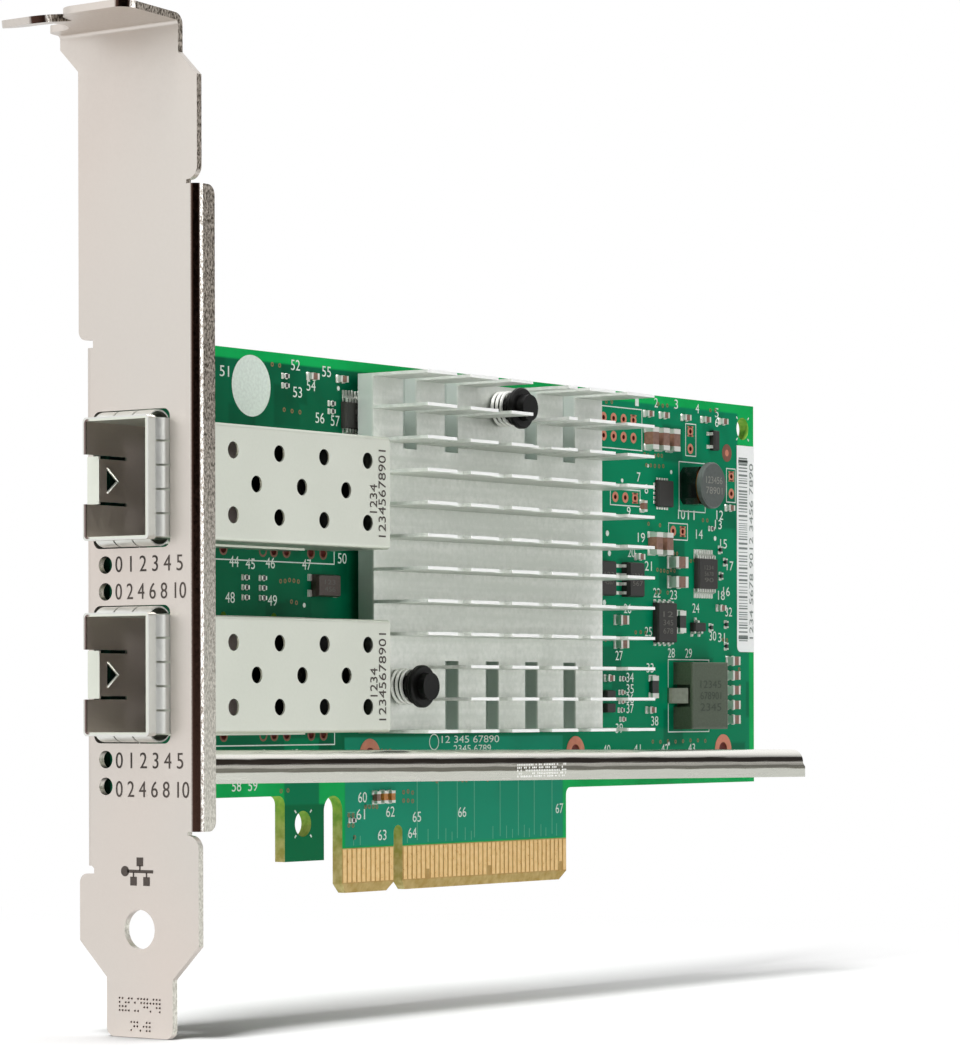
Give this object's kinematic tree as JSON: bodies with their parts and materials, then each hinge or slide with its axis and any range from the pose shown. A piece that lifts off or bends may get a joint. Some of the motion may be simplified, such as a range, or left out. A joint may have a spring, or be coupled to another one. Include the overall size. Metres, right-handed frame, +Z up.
{
  "type": "network interface card",
  "caption": "Dual port fibre network interface card with a full height slot bracket, finned heat sink, support rail and gold edge connector.",
  "frame": {"origin": "centre of the edge connector's key notch, on the card's bottom edge and in the middle of the board's thickness", "axes": "+X from the bracket to the far end of the board, +Y towards the solder side, so that the parts stand on the -Y side, +Z up, away from the socket"},
  "size_m": [0.1591, 0.0213, 0.1207],
  "materials": {
    "solder_mask": "satin green lacquer over glass fibre laminate",
    "contact_gold": "gold plate",
    "bare_copper": "matte copper",
    "bracket_steel": "nickel plated sheet, satin",
    "screw_steel": "zinc plate",
    "rail_steel": "nickel plated sheet, satin",
    "cage_sheet": "nickel plated copper alloy, satin",
    "spring_sheet": "bright tin plated spring sheet",
    "connector_black": "black liquid crystal polymer",
    "sink_aluminium": "clear anodised",
    "chip_black": "moulded epoxy",
    "thermal_grey": "soft filled silicone",
    "pin_black": "black nylon",
    "spring_wire": "bright spring wire",
    "tinned": "tin plate and solder",
    "capacitor_brown": "fired ceramic",
    "resistor_black": "glazed ceramic",
    "fuse_amber": "fired ceramic",
    "crystal_brown": "ceramic package",
    "ferrite_black": "lacquered ferrite",
    "ferrite_green": "coated ferrite",
    "lamp_white": "clear moulding"
  },
  "bodies": {
    "root": {"circuit_board": "solder_mask", "edge_contacts_front": "contact_gold", "edge_contacts_back": "contact_gold", "copper_rings": "bare_copper", "bracket": "bracket_steel", "bracket_screws": "screw_steel", "support_rail": "rail_steel", "cage_upper": "cage_sheet", "cage_lower": "cage_sheet", "emi_collar_upper": "spring_sheet", "emi_collar_lower": "spring_sheet", "host_connector_upper": "connector_black", "host_connector_lower": "connector_black", "host_contacts_upper": "contact_gold", "host_contacts_lower": "contact_gold", "heat_sink": "sink_aluminium", "controller_chip": "chip_black", "thermal_pad": "thermal_grey", "push_pin_upper": "pin_black", "push_pin_lower": "pin_black", "pin_spring_upper": "spring_wire", "pin_spring_lower": "spring_wire", "driver_chip": "chip_black", "memory_chip": "chip_black", "power_chip": "chip_black", "monitor_chip": "chip_black", "switch_chip": "chip_black", "regulator_chip": "chip_black", "diodes": "chip_black", "transistors": "chip_black", "chip_leads": "tinned", "chip_terminals": "tinned", "small_capacitors": "capacitor_brown", "tall_capacitors": "capacitor_brown", "resistors": "resistor_black", "fuses": "fuse_amber", "crystal": "crystal_brown", "drum_core": "ferrite_black", "drum_winding": "bare_copper", "power_inductor": "ferrite_green", "inductor_straps": "tinned", "status_lamps": "lamp_white"}
  },
  "joints": []
}
